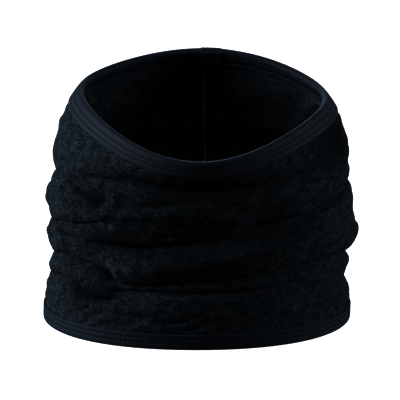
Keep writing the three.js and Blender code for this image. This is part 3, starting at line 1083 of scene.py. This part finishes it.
@dataclass
class Binding:
    """Fold-over elastic round one edge of the tube, held by two rows of needle stitches and a looper row."""

    end: End
    form: TubeForm
    finishes: Finishes
    channel: float = 1.4 * MM
    tape: float = 1.0 * MM
    crown_rise: float = 1.3 * MM
    fold_side_row: float = 3 * MM
    free_side_row: float = 6 * MM
    groove: float = 0.3 * MM
    groove_width: float = 0.4 * MM
    corner: float = 0.3 * MM
    columns: int = 880
    stitch: float = 2.5 * MM
    pucker: float = 0.07 * MM
    points_per_stitch: int = 7
    looper_points_per_stitch: int = 12
    near_fold: tuple[float, float] = (0.4 * MM, 1.2 * MM)
    near_edge: float = 7.7 * MM
    edge_gap: float = 0.2 * MM
    hole_depth: float = 0.7 * MM
    stitch_rise: float = 0.85 * MM
    looper_sway: float = 0.32
    looper_stand: float = 0.12 * MM

    @property
    def face(self) -> float:
        """Return how far the tape's face stands off the middle of the cloth."""
        return self.channel + self.tape

    def length(self) -> float:
        """Return the length of the bound edge."""
        angle = np.linspace(0, FULL_TURN, 721)
        edge = self.form.smooth_wall(angle, self.height(angle, np.zeros_like(angle)))
        return float(np.linalg.norm(np.diff(edge, axis=0), axis=1).sum())

    def stitch_count(self) -> int:
        """Return how many stitches go round."""
        return round(self.length() / self.stitch)

    def height(self, angle: np.ndarray, distance: np.ndarray) -> np.ndarray:
        """Return the height on the wall of points that lie distance from the cloth's edge."""
        return self.form.top(angle) - distance if self.end is End.TOP else distance

    def grooves(self, distance: np.ndarray) -> np.ndarray:
        """Return how far each row of stitches pulls the tape in."""
        rows = (self.fold_side_row, self.free_side_row)
        return sum(self.groove * np.exp(-(((distance - row) / self.groove_width) ** 2)) for row in rows)

    def section(self) -> np.ndarray:
        """Return the closed section as rows of (distance from the edge, offset)."""
        high = self.form.band
        c = self.corner
        across_row = np.array([-1.0, -0.6, -0.25, 0.0, 0.25, 0.6, 1.0]) * MM
        rows = [self.fold_side_row + across_row, self.free_side_row + across_row]
        leg = np.concatenate([self.near_fold, *rows, [self.near_edge, high - c]])[::-1]
        outer = np.stack([leg, self.face - self.grooves(leg)], axis=1)
        turn = np.linspace(0, math.pi, 9)[1:-1]
        crown = np.stack([-self.crown_rise * np.sin(turn), self.face * np.cos(turn)], axis=1)
        inner = outer[::-1] * (1, -1)
        half = [
            [high, self.face - c],
            [high, self.channel + c],
            [high - c, self.channel],
            [high / 2, self.channel],
        ]
        bed = [[-self.edge_gap, -self.channel], [-self.edge_gap, self.channel]]
        tail = np.array([[distance, -offset] for distance, offset in half] + bed)
        return np.concatenate([outer, crown, inner, tail, np.array(half[::-1])])

    def build_tape(self) -> bpy.types.Object:
        """Return the finished tape."""
        section = self.section()
        count = len(section)
        join = JOINS[self.end]
        steps = np.array([join.start - join.edge, join.start, join.stop, join.stop + join.edge])
        across = np.union1d(np.linspace(0, 1, self.columns + 1), steps / FULL_TURN)
        girth = float(np.linalg.norm(np.diff(section, axis=0), axis=1).sum())
        along, size = np.linspace(0, 1, count + 1), (self.length(), girth)
        mesh = patch(f"{self.end.value}_tape", across, along, size)
        flat = read_points(mesh)
        angle = flat[:, 0] * FULL_TURN
        corner = np.rint(flat[:, 1] * count).astype(int) % count
        distance, offset = section[corner, 0], section[corner, 1]
        drawn_in = 0.5 + 0.5 * np.cos(self.stitch_count() * angle)
        distance = distance * join.stretch(angle) + np.where(distance < 0, self.pucker * drawn_in, 0.0)
        on_skin = np.abs(offset) > self.channel * 1.1
        on_face = np.abs(offset) > self.face * 0.7
        outward = np.sign(offset) * (join.lift(angle) - self.pucker * drawn_in * on_face)
        offset = offset + np.where(on_skin | (distance < 0), outward, 0.0)
        write_points(mesh, self.form.off_wall(angle, self.height(angle, distance), offset))
        crown = np.argmin(section[:, 0])
        # Painted highlight on the folded edge: full at the front, fading to none at the back.
        chin = 0.5 + 0.5 * np.cos(angle)
        fold_highlight = 0.5 + 0.5 * smoothstep(chin, 0.2, 0.8)
        write_attribute(mesh, FOLD_HIGHLIGHT_ATTRIBUTE, np.where(corner == crown, fold_highlight, 0.0))
        weld(mesh)
        obj = link_object(f"{self.end.value}_tape", mesh)
        shade_smooth(mesh)
        mesh.materials.append(self.finishes.tape)
        return obj

    def build_needle_row(self, name: str, row: float) -> bpy.types.Object:
        """Return a row of straight stitches, which dip into the tape at each needle hole."""
        count = self.stitch_count()
        steps = count * self.points_per_stitch
        angle = np.arange(steps) * FULL_TURN / steps
        phase = np.mod(np.arange(steps) / self.points_per_stitch, 1.0)
        rise = np.sin(math.pi * phase) ** 0.5
        lie = self.face - self.groove + JOINS[self.end].lift(angle)
        offset = lie - self.hole_depth + self.stitch_rise * rise
        height = self.height(angle, np.full_like(angle, row))
        path = self.form.off_wall(angle, height, offset)
        return Thread(self.finishes.thread).along(name, path, self.form.normal(angle, height), closed=True)

    def build_looper(self, name: str) -> bpy.types.Object:
        """Return the looper thread, which laces from one needle row to the other on the inner face."""
        count = self.stitch_count()
        per_stitch = self.looper_points_per_stitch
        steps = count * per_stitch
        phase = np.arange(steps) * FULL_TURN / per_stitch
        middle = (self.fold_side_row + self.free_side_row) / 2
        swing = (self.free_side_row - self.fold_side_row) / 2
        sway = self.looper_sway * FULL_TURN / count * np.sin(2 * phase)
        angle = np.arange(steps) * FULL_TURN / steps + sway
        distance = middle + swing * np.cos(phase)
        inset = self.face - self.grooves(distance) + JOINS[self.end].lift(angle)
        offset = -inset - self.looper_stand * (1.2 + np.sin(phase))
        height = self.height(angle, distance)
        path = self.form.off_wall(angle, height, offset)
        return Thread(self.finishes.thread).along(name, path, -self.form.normal(angle, height), closed=True)

    def build(self) -> dict[str, bpy.types.Object]:
        """Return the tape and its threads, by the part of the CAD node's name after the end's name."""
        name = self.end.value
        return {
            "binding": self.build_tape(),
            "binding_fold_side_stitch": self.build_needle_row(f"{name}_fold_side_thread", self.fold_side_row),
            "binding_free_side_stitch": self.build_needle_row(f"{name}_free_side_thread", self.free_side_row),
            "binding_looper_thread": self.build_looper(f"{name}_looper"),
        }


# ---------------------------------------------------------------- back seam


# The lanes' places across the seam, the points (station by lane), and the inward normals.
Lay = tuple[np.ndarray, np.ndarray, np.ndarray]
# A measure of the stitch for each phase, in turns from stitch to stitch.
ByPhase = Callable[[np.ndarray], np.ndarray]


@dataclass
class BackSeam:
    """The overlocked back seam: its allowance lies flat on the inner face of the fleece.

    Places across the seam run from 0 at the line of the seam to the cut edge of the allowance.
    """

    fleece: bpy.types.Object
    form: TubeForm
    finishes: Finishes
    width: float = 6.2 * MM
    thickness: float = 1.7 * MM
    stations: int = 150
    lanes: int = 13
    margin: float = 1 * MM
    edge_round: float = 0.7
    fold_round: float = 0.6
    dent: float = 0.25 * MM
    dent_width: float = 0.6 * MM
    swell: float = 0.08
    sunk: float = 0.1 * MM
    needle_lane: float = 1.1 * MM
    needle_sunk: float = 0.45 * MM
    needle_rise: float = 0.7 * MM
    looper_clear: float = 0.2 * MM
    looper_stand: float = 0.12 * MM
    looper_wrap: float = 1.3 * MM
    stitch: float = 2.5 * MM
    points_per_stitch: int = 10

    def lay_of_cloth(self) -> Lay:
        """Find the inner face of the fleece under the seam.

        Returns:
            The lanes' places across the seam, the points (station by lane), and the inward normals.
        """
        low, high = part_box("back_seam_allowance")
        tree = BVHTree.FromObject(self.fleece, bpy.context.evaluated_depsgraph_get())
        axis = Vector((self.form.hem_x, self.form.hem_y, 0.0))
        across = np.linspace(-self.margin, self.width + self.margin, self.lanes)
        radius = self.form.hem_depth / 2
        points = np.zeros((self.stations, self.lanes, 3))
        for row, height in enumerate(np.linspace(low.z, high.z, self.stations)):
            for lane, place in enumerate(across):
                turn = SEAM_ANGLE + place / radius
                way = Vector((math.sin(turn), -math.cos(turn), 0.0))
                hit = tree.ray_cast(axis + Vector((0.0, 0.0, height)), way)[0]
                points[row, lane] = hit if hit is not None else axis + way * radius
        for _ in range(2):
            points[1:-1] = (points[:-2] + 2 * points[1:-1] + points[2:]) / 4
        inward = unit(np.cross(np.gradient(points, axis=0), np.gradient(points, axis=1)))
        facing = np.sum(inward * (points - np.array(axis)) * (1, 1, 0), axis=-1, keepdims=True)
        return across, points, inward * -np.sign(facing)

    @staticmethod
    def at_lane(lanes: np.ndarray, values: np.ndarray, row: np.ndarray, place: np.ndarray) -> np.ndarray:
        """Read values (station by lane) at fractional stations and at places across the seam."""
        lane = np.interp(place, lanes, np.arange(len(lanes)))
        low_row = np.minimum(row.astype(int), len(values) - 2)
        low_lane = np.minimum(lane.astype(int), len(lanes) - 2)
        up, over = (row - low_row)[:, None], (lane - low_lane)[:, None]
        below = values[low_row, low_lane] * (1 - over) + values[low_row, low_lane + 1] * over
        above = values[low_row + 1, low_lane] * (1 - over) + values[low_row + 1, low_lane + 1] * over
        return below * (1 - up) + above * up

    def build_allowance(self, lay_or_shade: Lay) -> bpy.types.Object:
        """Return the allowance: the two cut edges of the fleece, pressed to one side."""
        lanes, points, inward = lay_or_shade
        half, width = self.thickness / 2, self.width
        cut_round, seam_round = half * self.edge_round, half * self.fold_round
        turn = np.linspace(-math.pi / 2, math.pi / 2, 7)
        high_and_low = half + half * np.sin(turn)
        cut_edge = np.stack([width - cut_round + cut_round * np.cos(turn), high_and_low], axis=1)
        across = np.linspace(width - half, half, 9)[1:-1]
        dent = self.dent * np.exp(-(((across - self.needle_lane) / self.dent_width) ** 2))
        upper = np.stack([across, self.thickness - dent], axis=1)
        seam_edge = np.stack([seam_round - seam_round * np.cos(turn), half - half * np.sin(turn)], axis=1)
        under = np.array([[width * share, 0.0] for share in (0.3, 0.5, 0.7)])
        section = np.concatenate([cut_edge, upper, seam_edge, under])
        count = len(section)
        rows = self.stations - 1
        girth = float(np.linalg.norm(np.diff(section, axis=0), axis=1).sum())
        length = float(np.linalg.norm(np.diff(points[:, 0], axis=0), axis=1).sum())
        up, around = np.linspace(0, 1, rows + 1), np.linspace(0, 1, count + 1)
        mesh = patch("seam_allowance", up, around, (length, girth))
        flat = read_points(mesh)
        row = flat[:, 0] * rows
        corner = np.rint(flat[:, 1] * count).astype(int) % count
        base = self.at_lane(lanes, points, row, section[corner, 0])
        lift = section[corner, 1] * (1 + self.swell * np.sin(row * 1.3)) - self.sunk
        write_points(mesh, base + self.at_lane(lanes, inward, row, section[corner, 0]) * lift[:, None])
        weld(mesh)
        obj = link_object("seam_allowance", mesh)
        shade_smooth(mesh)
        mesh.materials.append(self.finishes.cut_edge)
        return obj

    def build_thread(
        self, name: str, finish: bpy.types.Material, lay_or_shade: Lay, place: ByPhase, lift: ByPhase
    ) -> bpy.types.Object:
        """Return a thread of the overlock stitch.

        Args:
            name: the piece's name.
            finish: the thread's material.
            lay_or_shade: how the inner face of the fleece lies under the seam.
            place: gives the place across the seam from the phase, in turns from stitch to stitch.
            lift: gives the height above the fleece from the phase.

        Returns:
            The finished thread.
        """
        lanes, points, inward = lay_or_shade
        length = float(np.linalg.norm(np.diff(points[:, 0], axis=0), axis=1).sum())
        steps = round(length / self.stitch) * self.points_per_stitch
        phase = np.arange(steps + 1) / self.points_per_stitch
        row = np.linspace(0, self.stations - 1, steps + 1)
        base = self.at_lane(lanes, points, row, place(phase))
        up = self.at_lane(lanes, inward, row, place(phase))
        return Thread(finish).along(name, base + up * lift(phase)[:, None], up, closed=False)

    def build(self) -> dict[str, bpy.types.Object]:
        """Return the allowance and its two threads, by the name of the CAD node each replaces."""
        lay_or_shade = self.lay_of_cloth()
        # The needle thread is given the grey thread of painted highlight.
        needle = self.build_thread(
            "seam_needle_thread",
            self.finishes.painted_highlight_thread,
            lay_or_shade,
            lambda phase: np.full_like(phase, self.needle_lane),
            lambda phase: self.thickness
            - self.needle_sunk
            + self.needle_rise * np.abs(np.sin(math.pi * phase)) ** 0.5,
        )
        reach = self.width + self.looper_clear - self.needle_lane
        looper = self.build_thread(
            "seam_looper_thread",
            self.finishes.thread,
            lay_or_shade,
            lambda phase: self.needle_lane + reach * (0.5 - 0.5 * np.cos(FULL_TURN * phase)),
            lambda phase: self.thickness
            + self.looper_stand
            - self.looper_wrap * (0.5 - 0.5 * np.cos(FULL_TURN * phase)) ** 6,
        )
        return {
            "back_seam_allowance": self.build_allowance(lay_or_shade),
            "back_seam_needle_thread": needle,
            "back_seam_looper_thread": looper,
        }


# ---------------------------------------------------------------- studio


@dataclass
class Studio:
    """A white floor, soft light and the camera.

    Each lamp has an azimuth and a height in degrees, a size in metres and a power in watts.
    """

    target: tuple[float, float, float] = (2.1 * MM, 0.0, 76 * MM)
    distance: float = 1.64
    elevation: float = math.radians(13.41)
    lens: float = 231.0
    lamp_distance: float = 1.5
    floor_shown: float = 0.97
    floor_given: float = 0.04
    floor_matt: float = 0.2
    room_given: float = 0.08
    gamma: float = 0.55
    light_colour: tuple[float, float, float] = (0.93, 0.98, 1.0)
    lamps: dict[str, tuple[float, float, float, float]] = field(
        default_factory=lambda: {
            "left_softbox": (-84.0, 20.0, 0.45, 88.0),
            "right_softbox": (86.0, 16.0, 0.45, 42.0),
            "top_softbox": (0.0, 80.0, 0.6, 4.0),
            "front_softbox": (0.0, 40.0, 0.9, 4.0),
            "back_softbox": (180.0, 30.0, 0.6, 8.0),
        }
    )

    def camera(self) -> None:
        """Make the camera and set it as the scene's."""
        data = bpy.data.cameras.new("camera")
        data.lens = self.lens
        data.sensor_width = 36.0
        data.clip_end = 20.0
        obj = bpy.data.objects.new("camera", data)
        away = Vector((0.0, -math.cos(self.elevation), math.sin(self.elevation)))
        obj.location = Vector(self.target) + away * self.distance
        obj.rotation_euler = (-away).to_track_quat("-Z", "Y").to_euler()
        bpy.context.scene.collection.objects.link(obj)
        bpy.context.scene.camera = obj

    @staticmethod
    def lit_white(tree: bpy.types.NodeTree, shown: float, given: float) -> bpy.types.NodeSocket:
        """Add the strength of a white glow that looks brighter than the light it gives to the gaiter.

        Args:
            tree: the node tree that gets the nodes.
            shown: the strength that the camera sees.
            given: the strength that lights the gaiter.

        Returns:
            The socket that gives the strength.
        """
        path = add_node(tree, "ShaderNodeLightPath")
        strength = add_node(
            tree,
            "ShaderNodeMapRange",
            {"To Min": given, "To Max": shown},
            {"Value": path.outputs["Is Camera Ray"]},
        )
        return strength.outputs["Result"]

    def backdrop(self) -> bpy.types.Material:
        """Return the plain white finish of the floor."""
        material, tree = new_material("white_floor")
        strength = self.lit_white(tree, self.floor_shown, self.floor_given)
        glow = add_node(tree, "ShaderNodeEmission", {"Color": (1, 1, 1, 1)}, {"Strength": strength})
        grey = (self.floor_matt, self.floor_matt, self.floor_matt, 1)
        matt = add_node(tree, "ShaderNodeBsdfDiffuse", {"Color": grey})
        both = add_node(tree, "ShaderNodeAddShader", {}, {0: glow.outputs[0], 1: matt.outputs[0]})
        add_node(tree, "ShaderNodeOutputMaterial", {}, {"Surface": both.outputs[0]})
        return material

    def world(self) -> bpy.types.World:
        """Return the white surroundings."""
        world = bpy.data.worlds.new("studio")
        world.use_nodes = True
        tree = world.node_tree
        strength = self.lit_white(tree, 1.0, self.room_given)
        tree.links.new(strength, tree.nodes["Background"].inputs["Strength"])
        tree.nodes["Background"].inputs["Color"].default_value = (1.0, 1.0, 1.0, 1.0)
        return world

    def lamp(self, name: str, place: Vector, size: float, power: float) -> None:
        """Add a square area lamp that points at the gaiter."""
        data = bpy.data.lights.new(name, "AREA")
        data.size = size
        data.energy = power
        data.color = self.light_colour
        obj = bpy.data.objects.new(name, data)
        obj.location = place
        obj.rotation_euler = (Vector(self.target) - place).to_track_quat("-Z", "Y").to_euler()
        bpy.context.scene.collection.objects.link(obj)

    def build(self) -> None:
        """Make the floor, the world and the lamps."""
        bm = bmesh.new()
        bmesh.ops.create_grid(bm, x_segments=1, y_segments=1, size=6.0)
        mesh = bpy.data.meshes.new("floor")
        bm.to_mesh(mesh)
        bm.free()
        floor = link_object("floor", mesh)
        mesh.materials.append(self.backdrop())
        bpy.context.scene.world = self.world()
        for name, (azimuth, height, size, power) in self.lamps.items():
            turn, rise = math.radians(azimuth), math.radians(height)
            level = math.cos(rise)
            away = Vector((math.sin(turn) * level, -math.cos(turn) * level, math.sin(rise)))
            self.lamp(name, Vector(self.target) + away * self.lamp_distance, size, power)
        view = bpy.context.scene.view_settings
        view.view_transform = "Standard"
        view.gamma = self.gamma


# ---------------------------------------------------------------- assembly


def main() -> None:
    """Build the studio and the gaiter round the CAD frame."""
    logging.basicConfig(level=logging.INFO, format="%(name)s: %(message)s")
    studio = Studio()
    studio.camera()
    form = TubeForm.from_frame(2.4 * MM)
    finishes = Finishes()
    fleece = FleeceTube(form, finishes).build()
    blended = {"fleece": fleece}
    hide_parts("fleece_tube")
    for node, piece in BackSeam(fleece, form, finishes).build().items():
        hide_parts(node)
        blended[node] = piece
    for piece in blended.values():
        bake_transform(piece)
        log.info("%s: %d faces", piece.name, len(piece.data.polygons))
    sewn_on = [piece for piece in blended.values() if piece is not fleece]
    for end, body in ((End.TOP, RIM_BODY), (End.BOTTOM, HEM_BODY)):
        for node, piece in Binding(end, form, finishes).build().items():
            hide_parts(f"{end.value}_{node}")
            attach(piece, body)
            sewn_on.append(piece)
            log.info("%s: %d faces", piece.name, len(piece.data.polygons))
    studio.build()


if __name__ == "__main__":
    main()
